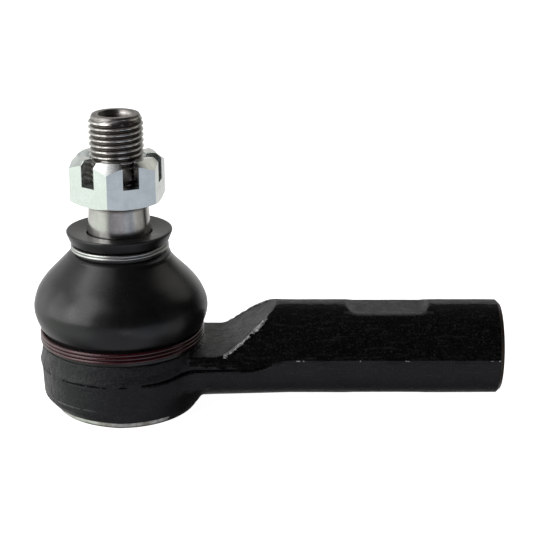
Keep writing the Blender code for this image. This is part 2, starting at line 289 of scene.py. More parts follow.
def coil(name, wire, radius, height, turns, start, steps, sides=14):
    """Round wire wound about Z; the height is a function of the turn count."""
    count = int(turns * steps)
    rows = []
    for i in range(count + 1):
        done = i / steps
        angle = start + TAU * done
        middle = height(done)
        thin = 1.0
        for end in (i, count - i):
            if end < 4:
                thin = min(thin, (0.35, 0.72, 0.9, 0.98)[end])
        row = []
        for k in range(sides):
            a = TAU * k / sides
            r = radius + wire * thin * math.cos(a)
            z = middle + wire * thin * math.sin(a)
            row.append((r * math.cos(angle), r * math.sin(angle), z))
        rows.append(row)
    verts = [(x * MM, y * MM, z * MM) for row in rows for x, y, z in row]
    faces = []
    for i in range(count):
        for k in range(sides):
            n = (k + 1) % sides
            here, there = i * sides, (i + 1) * sides
            faces.append((here + k, there + k, there + n, here + n))
    faces.append(tuple(range(sides)))
    faces.append(tuple(count * sides + k for k in reversed(range(sides))))
    mesh = bpy.data.meshes.new(name)
    mesh.from_pydata(verts, [], faces)
    made = link(name, mesh)
    tidy_mesh(made)
    smooth_shade(made, 60)
    return made


# ---------------------------------------------------------------- materials
class Look:
    """A small builder for a Principled material with procedural detail."""

    def __init__(self, name, colour, metallic, roughness, **sockets):
        self.mat = bpy.data.materials.new(name)
        self.mat.use_nodes = True
        self.tree = self.mat.node_tree
        self.shader = self.tree.nodes["Principled BSDF"]
        self.set("Base Color", (*colour, 1.0))
        self.set("Metallic", metallic)
        self.set("Roughness", roughness)
        for key, value in sockets.items():
            self.set(key.replace("_", " "), value)
        self.place = None
        self.mat.diffuse_color = (*colour, 1.0)

    def set(self, socket, value):
        self.shader.inputs[socket].default_value = value

    def node(self, kind, **values):
        made = self.tree.nodes.new(kind)
        for key, value in values.items():
            setattr(made, key, value)
        return made

    def wire(self, a, b):
        self.tree.links.new(a, b)

    def coords(self, scale=(1, 1, 1)):
        """Object coordinates in millimetres, stretched by a scale."""
        if self.place is None:
            self.place = self.node("ShaderNodeTexCoord").outputs["Object"]
        mapping = self.node("ShaderNodeMapping")
        mapping.inputs["Scale"].default_value = [s * 1000 for s in scale]
        self.wire(self.place, mapping.inputs["Vector"])
        return mapping.outputs["Vector"]

    def noise(self, size, detail=3.0, roughness=0.55, stretch=(1, 1, 1)):
        """Noise whose features are about size millimetres across."""
        made = self.node("ShaderNodeTexNoise")
        made.inputs["Scale"].default_value = 1.0 / size
        made.inputs["Detail"].default_value = detail
        made.inputs["Roughness"].default_value = roughness
        self.wire(self.coords(stretch), made.inputs["Vector"])
        return made.outputs["Fac"]

    def ramp(self, source, low, high, a=0.0, b=1.0):
        """Source from low to high becomes a to b."""
        made = self.node("ShaderNodeMapRange", clamp=True)
        made.inputs["From Min"].default_value = low
        made.inputs["From Max"].default_value = high
        made.inputs["To Min"].default_value = a
        made.inputs["To Max"].default_value = b
        self.wire(source, made.inputs["Value"])
        return made.outputs["Result"]

    def math(self, operation, a, b):
        """One Math node; either side may be a number."""
        made = self.node("ShaderNodeMath", operation=operation)
        for socket, value in zip(made.inputs, (a, b)):
            if isinstance(value, (int, float)):
                socket.default_value = value
            else:
                self.wire(value, socket)
        return made.outputs["Value"]

    def mix(self, factor, a, b):
        """Colour a to colour b by a factor."""
        made = self.node("ShaderNodeMix", data_type="RGBA")
        self.wire(factor, made.inputs["Factor"])
        for socket, value in (("A", a), ("B", b)):
            target = [s for s in made.inputs if s.name == socket and s.type == "RGBA"][0]
            if isinstance(value, tuple):
                target.default_value = (*value, 1.0)
            else:
                self.wire(value, target)
        return [s for s in made.outputs if s.type == "RGBA"][0]

    def drive(self, socket, source):
        self.wire(source, self.shader.inputs[socket])

    def bump(self, *layers):
        """Stack bumps: each layer is (height source, depth in millimetres)."""
        normal = None
        for source, depth in layers:
            made = self.node("ShaderNodeBump")
            made.inputs["Strength"].default_value = 1.0
            made.inputs["Distance"].default_value = depth * MM
            self.wire(source, made.inputs["Height"])
            if normal:
                self.wire(normal, made.inputs["Normal"])
            normal = made.outputs["Normal"]
        self.wire(normal, self.shader.inputs["Normal"])

    def axis(self, name):
        """One object coordinate, in millimetres."""
        split = self.node("ShaderNodeSeparateXYZ")
        self.wire(self.coords(), split.inputs["Vector"])
        return split.outputs[name]


def forged_black(name, dark, light, glint_tint, specular, grain_depth, sheen_shade_and_scratch=0.0):
    """Black paint over a hot-forged skin, with light specks and strokes painted over it as
    glints.

    Where the last argument is over 0, the end away from the shank is lightened with grey streaks
    as painted light on its lit side, with one low scratch, and the base of the head near the
    shank is painted a dead black as shade.
    """
    look = Look(name, light, 0.0, 0.45, Specular_IOR_Level=specular)
    grain = look.noise(0.42, 4.0, 0.65)
    scale = look.noise(2.2, 3.0, 0.6)
    broad = look.noise(9.0, 2.0)
    # Painted glints: light specks and strokes over the black, where small facets would catch the
    # light.
    streaks = look.noise(0.5, 3.0, 0.6, stretch=(0.12, 0.12, 1.0))
    streaks = look.ramp(streaks, 0.56, 0.72, 0.0, 0.7)
    specks = look.ramp(look.noise(0.42, 3.0, 0.65), 0.54, 0.68)
    painted_glints = look.math("MAXIMUM", specks, streaks)
    paint_colour = look.mix(look.ramp(broad, 0.35, 0.65), dark, light)
    skin = look.mix(painted_glints, paint_colour, glint_tint)
    if sheen_shade_and_scratch:
        x, z = look.axis("X"), look.axis("Z")
        # Painted light: grey streaks lighten the end away from the shank, the side the lamps
        # light.
        streaky = look.ramp(look.noise(0.7, 4.0, 0.7, stretch=(1.0, 1.0, 0.3)), 0.4, 0.66)
        painted_light = look.math("MULTIPLY", streaky, look.ramp(x, -11.5, -18.0))
        painted_light = look.math("MULTIPLY", painted_light, sheen_shade_and_scratch)
        off_line = look.math("ABSOLUTE", look.math("SUBTRACT", z, 4.6), 0.0)
        line = look.math("MULTIPLY", look.ramp(off_line, 0.22, 0.08), look.ramp(x, -4.0, -8.0))
        scratch = look.math("MULTIPLY", line, look.ramp(scale, 0.45, 0.55, 0.0, 0.7))
        skin = look.mix(look.math("MAXIMUM", painted_light, scratch), skin, (0.16, 0.16, 0.155))
        # Painted shade: the base of the head near the shank turns a dead black, and rougher.
        base = look.math("MULTIPLY", look.ramp(x, 8.5, 14.0), look.ramp(x, 19.5, 17.0))
        patchy = look.math("ADD", z, look.ramp(scale, 0.3, 0.7, -1.5, 1.5))
        painted_shade = look.math("MULTIPLY", base, look.ramp(patchy, 7.0, 4.5))
        skin = look.mix(painted_shade, skin, (0.001, 0.001, 0.0012))
    look.drive("Base Color", skin)
    rough = look.ramp(grain, 0.3, 0.7, 0.36, 0.52)
    rough = look.math("ADD", rough, look.ramp(scale, 0.3, 0.7, -0.05, 0.08))
    if sheen_shade_and_scratch:
        rough = look.math("ADD", rough, look.math("MULTIPLY", painted_shade, 0.45))
    look.drive("Roughness", rough)
    pits = look.ramp(look.noise(0.8, 2.0, 0.5), 0.42, 0.58)
    look.bump((scale, 0.012), (grain, grain_depth), (pits, 0.02))
    return look.mat


def worn_black_and_highlights():
    """Paint worn thin along the trimmed ridge, where it also paints the ridge's highlight; the
    same lighter coat paints glints on the parting line.
    """
    look = Look("forged_black_worn_and_highlights", (0.12, 0.12, 0.12), 0.6, 0.4)
    chips = look.noise(0.5, 3.0, 0.6)
    bare = look.ramp(chips, 0.36, 0.54)
    look.drive("Base Color", look.mix(bare, (0.05, 0.05, 0.05), (0.42, 0.42, 0.41)))
    look.bump((chips, 0.12))
    return look.mat


def end_steel():
    """The turned end of the shank: dark steel with a little rust."""
    look = Look("shank_end_steel", (0.06, 0.045, 0.04), 0.6, 0.42)
    rust = look.noise(1.6, 4.0, 0.65)
    rings = look.noise(0.3, 2.0, 0.5, stretch=(1.0, 0.05, 0.05))
    rusty = look.ramp(rust, 0.42, 0.62)
    look.drive("Base Color", look.mix(rusty, (0.06, 0.052, 0.048), (0.075, 0.034, 0.02)))
    look.drive("Roughness", look.ramp(rust, 0.3, 0.7, 0.32, 0.6))
    look.bump((rings, 0.02), (rust, 0.03))
    return look.mat


def stud_steel():
    """Ground steel with fine marks round the Z axis, painted shade in the thread roots, the end
    recess, under the nut and inside it, and a darker tip.
    """
    look = Look("stud_steel", (0.6, 0.59, 0.575), 1.0, 0.2)
    rings = look.noise(0.16, 3.0, 0.6, stretch=(0.03, 0.03, 1.0))
    stain = look.noise(3.5, 4.0, 0.6)
    steel_tone = look.mix(look.ramp(stain, 0.38, 0.7), (0.62, 0.6, 0.58), (0.46, 0.44, 0.425))
    rough = look.ramp(rings, 0.3, 0.7, 0.15, 0.21)
    rough = look.math("ADD", rough, look.ramp(stain, 0.4, 0.7, 0.0, 0.07))

    across = look.math("POWER", look.axis("X"), 2.0)
    along = look.math("POWER", look.axis("Y"), 2.0)
    radius = look.math("SQRT", look.math("ADD", across, along), 0.0)
    height = look.axis("Z")

    def band(low, full, full_end, high_end, most=1.0):
        """Rises from low to full and falls from full_end to high_end along the stud."""
        rise = look.ramp(height, low, full, 0.0, most)
        return look.math("MULTIPLY", rise, look.ramp(height, high_end, full_end))

    # Painted shade: thread roots, end recess, a painted shadow just under the nut and shade
    # inside the nut; the tip is darker as well.
    threaded = band(48.6, 49.4, STUD_END - 1.2, STUD_END - 0.5)
    root = look.math("MULTIPLY", look.ramp(radius, 5.84, 5.45), threaded)
    recess = look.math("MULTIPLY", look.ramp(radius, 3.3, 2.6), look.ramp(height, 60.0, 62.0))
    tip = look.ramp(height, STUD_END - 0.9, STUD_END - 0.2, 0.0, 0.75)
    under_nut = band(46.3, 47.0, 48.5, 49.0)
    in_nut = band(48.5, 49.0, 56.2, 57.6, 0.7)
    shade_and_dark_tip = root
    for part in (recess, tip, under_nut, in_nut):
        shade_and_dark_tip = look.math("MAXIMUM", shade_and_dark_tip, part)
    look.drive("Base Color", look.mix(shade_and_dark_tip, steel_tone, (0.12, 0.105, 0.095)))
    look.drive("Roughness", look.math("ADD", rough, look.math("MULTIPLY", shade_and_dark_tip, 0.2)))
    look.bump((rings, 0.0015), (look.noise(0.5, 3.0), 0.002))
    return look.mat


def zinc_plate():
    """Bright zinc with a slight cloud over it."""
    look = Look("zinc_plate_bright", (0.78, 0.8, 0.79), 1.0, 0.24)
    cloud = look.noise(2.4, 3.0, 0.6)
    fine = look.noise(0.22, 3.0, 0.6)
    look.drive(
        "Base Color",
        look.mix(look.ramp(cloud, 0.35, 0.7), (0.84, 0.86, 0.845), (0.78, 0.81, 0.805)),
    )
    rough = look.ramp(cloud, 0.3, 0.7, 0.16, 0.3)
    look.drive("Roughness", look.math("ADD", rough, look.ramp(fine, 0.3, 0.7, -0.03, 0.06)))
    look.bump((cloud, 0.015), (fine, 0.004))
    return look.mat


def rubber():
    """Black rubber, faintly bloomed."""
    look = Look("boot_rubber", (0.008, 0.008, 0.0083), 0.0, 0.3, Specular_IOR_Level=0.5)
    bloom = look.noise(6.0, 4.0, 0.6)
    fine = look.noise(0.35, 3.0, 0.6)
    look.drive(
        "Base Color",
        look.mix(look.ramp(bloom, 0.4, 0.75), (0.0075, 0.0075, 0.0077), (0.012, 0.012, 0.0122)),
    )
    rough = look.ramp(bloom, 0.3, 0.7, 0.25, 0.34)
    look.drive("Roughness", look.math("ADD", rough, look.ramp(fine, 0.3, 0.7, -0.01, 0.015)))
    look.bump((bloom, 0.05), (fine, 0.0015))
    return look.mat


def wire_look(name, dark, light, metallic, roughness, coat=0.0):
    """Wire with patches of two colours, bare or lacquered."""
    look = Look(name, dark, metallic, roughness, Coat_Weight=coat, Coat_Roughness=0.12)
    patch = look.noise(1.8, 3.0, 0.6)
    look.drive("Base Color", look.mix(look.ramp(patch, 0.35, 0.7), dark, light))
    look.drive("Roughness", look.ramp(patch, 0.3, 0.7, roughness - 0.06, roughness + 0.08))
    look.bump((look.noise(0.25, 2.0), 0.008))
    return look.mat


def plastic():
    """The natural acetal of the ball's seats."""
    look = Look("seat_acetal", (0.72, 0.71, 0.66), 0.0, 0.38)
    flow = look.ramp(look.noise(4.0, 3.0), 0.35, 0.7)
    look.drive("Base Color", look.mix(flow, (0.74, 0.73, 0.68), (0.66, 0.64, 0.58)))
    look.bump((look.noise(0.4, 3.0), 0.01))
    return look.mat


def dark_spring():
    """Oiled spring steel."""
    look = Look("spring_oiled", (0.16, 0.165, 0.18), 1.0, 0.34)
    flow = look.ramp(look.noise(2.0, 4.0), 0.35, 0.7)
    look.drive("Base Color", look.mix(flow, (0.12, 0.12, 0.14), (0.25, 0.24, 0.24)))
    look.bump((look.noise(0.3, 3.0, 0.6, stretch=(0.1, 0.1, 1.0)), 0.01))
    return look.mat


def dull_zinc():
    """Cap plating, black towards both sides of its rim."""
    look = Look("zinc_plate_dull", (0.5, 0.5, 0.48), 1.0, 0.36)
    stain = look.noise(3.0, 4.0, 0.65)
    metal = look.mix(look.ramp(stain, 0.42, 0.66), (0.6, 0.6, 0.56), (0.3, 0.27, 0.22))
    away = look.math("ABSOLUTE", look.math("ADD", look.axis("X"), 2.5), 0.0)
    ragged = look.math("ADD", away, look.ramp(stain, 0.3, 0.7, -2.0, 2.0))
    on_rim = look.ramp(look.axis("Z"), 0.02, 0.1)
    # The rim turns black towards both sides.
    dark_sides = look.math("MULTIPLY", look.ramp(ragged, 10.5, 13.0), on_rim)
    look.drive("Base Color", look.mix(dark_sides, metal, (0.02, 0.02, 0.02)))
    look.drive("Roughness", look.ramp(stain, 0.3, 0.7, 0.3, 0.48))
    look.bump((look.noise(0.4, 3.0), 0.012))
    return look.mat


def paint(obj, mat):
    """One material for the whole object."""
    obj.data.materials.clear()
    obj.data.materials.append(mat)


# ---------------------------------------------------------------- housing
def parting_height(x):
    """Height of the forging's parting line along the part."""
    neck = np.clip((x - 8.5) / 9.0, 0, 1)
    shank = np.clip((x - 29.0) / 8.0, 0, 1)
    neck_rise = 0.75 * neck**2 * (3 - 2 * neck)
    return 10.8 + neck_rise + 2.05 * shank**2 * (3 - 2 * shank)


def neck_web(side):
    """Blends one side of the neck into the head."""
    fillet = 9.5
    head_r = 18.55
    neck_y = SHANK_R - 0.4
    centre_y = neck_y + fillet
    centre_x = math.sqrt((head_r + fillet) ** 2 - centre_y**2)
    first = math.atan2(-centre_y, -centre_x)
    arc = []
    for i in range(9):
        a = first + (-math.pi / 2 - first) * i / 8
        arc.append((centre_x + fillet * math.cos(a), centre_y + fillet * math.sin(a)))
    outline = [(centre_x, neck_y - 4), (14.5, neck_y - 4)]
    outline.append((arc[0][0] - 1.2, arc[0][1] - 1.6))
    outline = [(x, side * y) for x, y in [*outline, *arc]]
    web = prism(f"web_{side}", outline, 6.1, 13.9)
    bevel(web, 1.2, 3, 50)
    return web


def forged_noise(points, size, seed):
    """Noise at points in millimetres, with features about size across."""
    shift = Vector((seed * 17.3, seed * 5.1, seed * 9.7))
    return np.array([noise.noise(Vector(p) / size + shift) for p in points])


def ridge_mask(mm):
    """One along the edge where the sloping face leaves the round shank."""
    x, y, z = mm.T
    plane = (z - NECK_FLAT_Z - (x - NECK_BEND_X) * NECK_SLOPE) / math.hypot(1, NECK_SLOPE)
    radius = np.hypot(y, z - SHANK_Z)
    near = np.clip(1.5 - np.abs(plane) / 0.45, 0, 1)
    outer = np.clip((radius - 9.9) / 0.3, 0, 1)
    length = np.clip((x - 22.5) / 1.5, 0, 1) * np.clip((34.2 - x) / 2.5, 0, 1)
    return near * outer * length


def drawn_in(turn, radius, height):
    """The base is drawn in a little on the side away from the shank."""
    away = np.clip(-np.cos(turn), 0, 1) ** 0.7
    return radius * (1 - 0.075 * away * np.clip((3.6 - height) / 2.1, 0, 1)), height


def build_housing(coats):
    corners = [
        (0, 18.7),
        (15.4, 18.7),
        (15.4, 15.3),
        (18.2, 15.3),
        (18.75, 10.8),
        (18.5, 3.4),
        (17.95, 1.45),
        (0, 1.45),
    ]
    head = rounded(corners, [0, 0.4, 0.3, 0.35, 0.5, 1.5, 0.5, 0], closed=False)
    profile = densify(head, 1.0, False)
    body = lathe("housing_forging", profile, 160, closed=False, warp=drawn_in)
    shank = build_shank()

    bm = bmesh.new()
    for part in (body, shank, neck_web(1), neck_web(-1)):
        bm.from_mesh(part.data)
        if part is not body:
            bpy.data.objects.remove(part, do_unlink=True)
    bm.to_mesh(body.data)
    bm.free()
    remesh = body.modifiers.new("Remesh", "REMESH")
    remesh.mode = "VOXEL"
    remesh.voxel_size = VOXEL * MM
    relax = body.modifiers.new("Smooth", "SMOOTH")
    relax.factor = 0.5
    relax.iterations = RELAX_STEPS
    bake_modifiers(body)

    roughen_forging(body)
    combine(body, bore_tool())
    combine(body, cup_tool())
    smooth_shade(body, 50)
    paint(body, coats[0])
    paint_zones(body, coats)
    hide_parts("housing")
    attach(body, "housing")


def build_shank():
    """The round shank and its neck, cut by the sloping face and the two spanner flats."""
    over = SHANK_END + 1
    blank = [(0, over), (SHANK_R, over), (SHANK_R, 38.0), (11.35, 14.0), (0, 14.0)]
    blank = rounded(blank, [0, 0.9, 6, 0, 0], closed=False)
    shank = lathe("shank", blank, 144, closed=False)
    lay_along_x(shank, SHANK_Z)
    top = NECK_TOP_X + 6
    high = NECK_FLAT_Z + (top - NECK_BEND_X) * NECK_SLOPE
    bend = [(8, NECK_FLAT_Z), (NECK_BEND_X, NECK_FLAT_Z), (top, high), (8, high)]
    bend = rounded(bend, [0, 6.0, 0, 0], 8)
    combine(shank, prism("neck_cut", bend, -20, 20, "Y"))
    first, last = FLAT_X
    scallop = [(0.0, 2.6), (0.6, 1.35), (1.5, 0.45), (2.7, 0.0)]
    outline = [(first + x, FLAT_DISTANCE + z) for x, z in scallop]
    outline += [(last - x, FLAT_DISTANCE + z) for x, z in reversed(scallop)]
    for side in (1, -1):
        edge = [(x, SHANK_Z + side * z) for x, z in outline]
        combine(shank, prism("flat_cut", edge, -12, 12, "Y"))
    return shank


def seam_opening(mm):
    """The cold shut just under the parting line: its depth and half width in millimetres."""
    bold = np.clip((mm[:, 0] - 3.0) / 8.0, 0, 1) * np.clip((36.0 - mm[:, 0]) / 4.0, 0, 1)
    patchy = 2.2 * forged_noise(mm, 3.2, 2) + forged_noise(mm, 1.1, 1)
    broken = np.clip(0.45 + patchy + 1.6 * bold, 0, 1)
    return (0.3 + 0.32 * bold) * broken, 0.25 + 0.17 * bold


def paint_zones(body, coats):
    """Rough black on the shank's upper half and in the seam, where the dark coat is painted
    shade; worn paint along the edges, which also paints their highlight; painted glints on the
    parting line.
    """
    mesh = body.data
    for coat in coats[1:]:
        mesh.materials.append(coat)
    count = len(mesh.polygons)
    mid, normal = np.empty(count * 3), np.empty(count * 3)
    mesh.polygons.foreach_get("center", mid)
    mesh.polygons.foreach_get("normal", normal)
    mid, normal = mid.reshape(-1, 3) / MM, normal.reshape(-1, 3)
    above = mid[:, 2] - parting_height(mid[:, 0])
    level = np.abs(np.abs(mid[:, 2] - SHANK_Z) - FLAT_DISTANCE) < 0.35
    machined = level & (mid[:, 0] > FLAT_X[0]) & (mid[:, 0] < FLAT_X[1])
    machined &= np.abs(normal[:, 2]) > 0.9
    ragged = forged_noise(mid, 1.6, 4) * 0.35
    edge = 0.7 * np.clip((31.0 - mid[:, 0]) / 7.0, 0, 1) + 2.4 * ragged * (mid[:, 0] < 33)
    rough = (above > edge) & (mid[:, 0] > 15.6 + ragged)
    rough &= ~machined & (np.abs(normal[:, 1]) > 0.12)
    depth, width = seam_opening(mid)
    # The seam's faces take the dark rough coat: painted shade in the crack.
    shut = (np.abs(above + SEAM_DROP) < width * 0.9) & (depth > 0.14) & (mid[:, 0] < 34)
    shut &= np.hypot(mid[:, 0], mid[:, 1]) > 17.0
    index = np.where(rough | shut, 1, 0)
    grit = forged_noise(mid, 0.9, 5)
    # Worn paint along the ridge, which also paints the ridge's highlight.
    index[ridge_mask(mid) * (0.75 + grit) > 0.45] = 2
    # Painted glints: sparse faces of the lighter worn coat along the parting line.
    glint = grit + forged_noise(mid, 5.0, 6) > 0.58
    index[glint & (np.abs(above) < 0.14) & (mid[:, 0] > 36)] = 2
    mesh.polygons.foreach_set("material_index", index.astype(np.int32))


def roughen_forging(body):
    """Parting line, die scale and soft unevenness, as real relief."""
    mesh = body.data
    count = len(mesh.vertices)
    co = np.empty(count * 3)
    mesh.vertices.foreach_get("co", co)
    co = co.reshape(-1, 3)
    normal = np.empty(count * 3)
    mesh.vertices.foreach_get("normal", normal)
    normal = normal.reshape(-1, 3)
    mm = co / MM
    fine = forged_noise(mm, 1.1, 1)
    scale = forged_noise(mm, 3.2, 2)
    broad = forged_noise(mm, 11.0, 3)
    above = mm[:, 2] - parting_height(mm[:, 0])
    side = np.clip(1.15 - np.abs(normal[:, 2]), 0, 1)
    ragged = np.clip(0.55 + 1.3 * scale + 0.5 * fine, 0, 1)
    line = 0.13 * np.exp(-(((above - 0.15) / 0.3) ** 2)) * ragged
    depth, width = seam_opening(mm)
    crack = depth * np.exp(-(((above + SEAM_DROP) / width) ** 2))
    step = 0.1 / (1 + np.exp(-above / 0.12))
    step -= 0.1 * np.minimum(np.abs(above), 2.0)
    upper = 1 / (1 + np.exp(-above / 0.5))
    push = side * (line - crack + step) - 0.05
    push += (0.012 + 0.045 * upper * side) * fine + 0.014 * scale + 0.05 * broad
    push += 0.2 * ridge_mask(mm) * np.clip(0.6 + fine, 0, 1)
    seat = (np.hypot(mm[:, 0], mm[:, 1]) > 16.6) | (mm[:, 0] > 19)
    push *= seat
    co += normal * push[:, None] * MM
    mesh.vertices.foreach_set("co", co.ravel())
    mesh.update()


def bore_tool():
    """Cuts the shank's bore and leaves room for its machined end."""
    tip = SHANK_END - 44.0
    cut = SHANK_END - END_CHAMFER
    profile = [(0, SHANK_END + 3), (13, SHANK_END + 3), (13, cut), (8.0, cut)]
    profile += [(8.0, tip + 2), (6.2, tip), (0, tip - 3.7)]
    tool = lathe("bore_tool", profile, 96, closed=False)
    lay_along_x(tool, SHANK_Z)
    return tool


def cup_tool():
    """Cuts the space inside the head for the ball, its seats and the spring."""
    mouth = [(0, 19.5), (11.2, 19.5), (10.6, 18.7), (9.9, 17.2)]
    profile = [*mouth, (13.4, 17.2), (13.4, 1.0), (0, 1.0)]
    return lathe("cup_tool", profile, 96, closed=False)


def build_shank_thread(steel):
    """The machined end face and the inside thread of the shank."""
    full_depth = 0.5413 * SHANK_PITCH
    minor = SHANK_THREAD_R - full_depth
    deep = SHANK_END - 36.0
    cut = SHANK_END - END_CHAMFER
    face = [(SHANK_R - 0.1, cut + 0.02), (SHANK_R - END_CHAMFER, SHANK_END), (7.35, SHANK_END)]
    wall = [(minor + 0.05, SHANK_END - 1.15), (minor, deep)]
    back = [(7.9, deep), (7.9, cut + 0.02)]
    dense = densify([wall[0], wall[1]], SHANK_PITCH / 16, False)
    profile = np.vstack([rounded(face, [0, 0.12, 0.1], 3, False), dense, back])

    def warp(turn, radius, height):
        groove = thread_depth(turn, -height, SHANK_PITCH, full_depth)
        on_wall = (radius < minor + 0.4) & (height > deep + 0.4)
        cut = minor + (full_depth - groove)
        return np.where(on_wall, np.maximum(radius, cut), radius), height

    sleeve = lathe("shank_thread", profile, 96, warp=warp)
    lay_along_x(sleeve, SHANK_Z)
    smooth_shade(sleeve, 40)
    paint(sleeve, steel)
    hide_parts("housing")
    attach(sleeve, "housing")


# ---------------------------------------------------------------- stud and nut
def build_stud(steel):
    """Ball, neck, taper, thread with its run-outs, end recess and split-pin hole."""

    def taper(z):
        return 7.0 - 0.0625 * (z - 41.0)

    arc = []
    first, last = math.asin(-8.5 / BALL_R), math.asin(8.04 / BALL_R)
    for i in range(41):
        a = first + (last - first) * i / 40
        arc.append((BALL_R * math.cos(a), BALL_Z + BALL_R * math.sin(a)))
    neck = [(5.8, 20.9), (5.8, 25.0), (6.3, 27.5), (7.1, 30.0), (7.6, 32.5), (7.55, 34.5)]
    neck = smooth_path(neck, 6)
    upper = [
        (taper(36.0), 36.0),
        (taper(47.7), 47.7),
        (5.2, 48.6),
        (5.2, 49.1),
        (STUD_R, 49.8),
        (STUD_R, STUD_END - 1.6),
        (STUD_R - 0.85, STUD_END),
        (3.9, STUD_END),
        (2.5, STUD_END - 3.2),
        (0, STUD_END - 3.8),
    ]
    upper = rounded(upper, [0, 0.2, 0.3, 0.3, 0.1, 0.3, 0.25, 0.3, 0.5, 0], 4, False)
    threads = upper[upper[:, 1] > 48.0]
    plain = upper[upper[:, 1] <= 48.0]
    outer = densify(threads, STUD_PITCH / 18, False)
    profile = np.vstack([[(0, 3.5)], arc, neck, densify(plain, 1.5, False), outer])

    def warp(turn, radius, height):
        fade = np.clip((height - 49.0) / 1.0, 0, 1)
        cut = STUD_R + 0.02 - thread_depth(turn, height, STUD_PITCH, 0.72) * fade
        cut += 0.014 * np.sin(turn * 3 + height * 1.7) + 0.012 * np.sin(turn * 11 + height * 3.1)
        threaded = (height > 49.0) & (radius > 4.0)
        return np.where(threaded, np.minimum(radius, cut), radius), height

    stud = lathe("stud", profile, 144, closed=False, warp=warp)
    hole_angle = NUT_CORNER + math.radians(30)
    pin = [(0, -9), (PIN_HOLE_R, -9), (PIN_HOLE_R, 9), (0, 9)]
    hole = lathe("hole", pin, 40, closed=False)
    hole.data.transform(Matrix.Rotation(math.radians(90), 4, "Y"))
    hole.data.transform(Matrix.Rotation(hole_angle, 4, "Z"))
    hole.data.transform(Matrix.Translation((0, 0, PIN_HOLE_Z * MM)))
    combine(stud, hole)
    smooth_shade(stud, 38)
    paint(stud, steel)
    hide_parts("ball_stud")
    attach(stud, "stud")


def slot_tools():
    """Three bars that cut the six slots."""
    half = SLOT_WIDTH / 2
    tools = []
    for i in range(3):
        angle = NUT_CORNER + math.radians(30 + 60 * i)
        outline = turned(angle, [(-14, -half), (14, -half), (14, half), (-14, half)])
        tools.append(prism(f"slot_{i}", outline, SLOT_FLOOR, NUT_TOP + 2))
    return tools


def build_nut(zinc):
    """Hexagon with a turned crown and foot, six slots and an inside thread."""
    corner_r = NUT_FLATS / math.sqrt(3)
    corners = np.arange(6) * TAU / 6
    hexagon = [(corner_r * math.cos(a), corner_r * math.sin(a)) for a in corners]
    nut = prism("nut", turned(NUT_CORNER, hexagon), NUT_BASE, NUT_TOP)
    crown_r, crown_slope = 8.6, math.tan(math.radians(42))
    foot_r, foot_slope = 9.6, math.tan(math.radians(24))
    wide = corner_r + 1
    rim = [
        (0, NUT_TOP),
        (crown_r, NUT_TOP),
        (wide, NUT_TOP - (wide - crown_r) * crown_slope),
        (wide, NUT_BASE + (wide - foot_r) * foot_slope),
        (foot_r, NUT_BASE),
        (0, NUT_BASE),
    ]
    combine(nut, lathe("rim", rim, 120, closed=False), "INTERSECT")
    bore_r = 6.5
    bore = [
        (0, NUT_TOP + 1),
        (7.5, NUT_TOP + 1),
        (bore_r, NUT_TOP - 0.3),
        (bore_r, NUT_BASE + 0.4),
        (7.0, NUT_BASE - 0.4),
        (0, NUT_BASE - 0.4),
    ]
    combine(nut, lathe("bore", bore, 96, closed=False))
    for tool in slot_tools():
        combine(nut, tool)
    bevel(nut, 0.16, 3, 25)
    flat_normals(nut, 45)
    paint(nut, zinc)
    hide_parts("castle_nut")
    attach(nut, "nut")

    minor, outer = 6.06, 6.62
    low, high = NUT_BASE + 0.45, NUT_TOP - 0.35
    wall = densify([(minor, low), (minor, high)], STUD_PITCH / 14, False)
    profile = np.vstack([wall, [(outer, high), (outer, low)]])
    depth = 0.4

    def warp(turn, radius, height):
        groove = depth - thread_depth(turn, height, STUD_PITCH, depth)
        return np.where(radius < 6.3, radius + groove, radius), height

    thread = lathe("nut_thread", profile, 96, warp=warp)
    for tool in slot_tools():
        combine(thread, tool)
    smooth_shade(thread, 40)
    paint(thread, zinc)
    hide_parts("castle_nut")
    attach(thread, "nut")


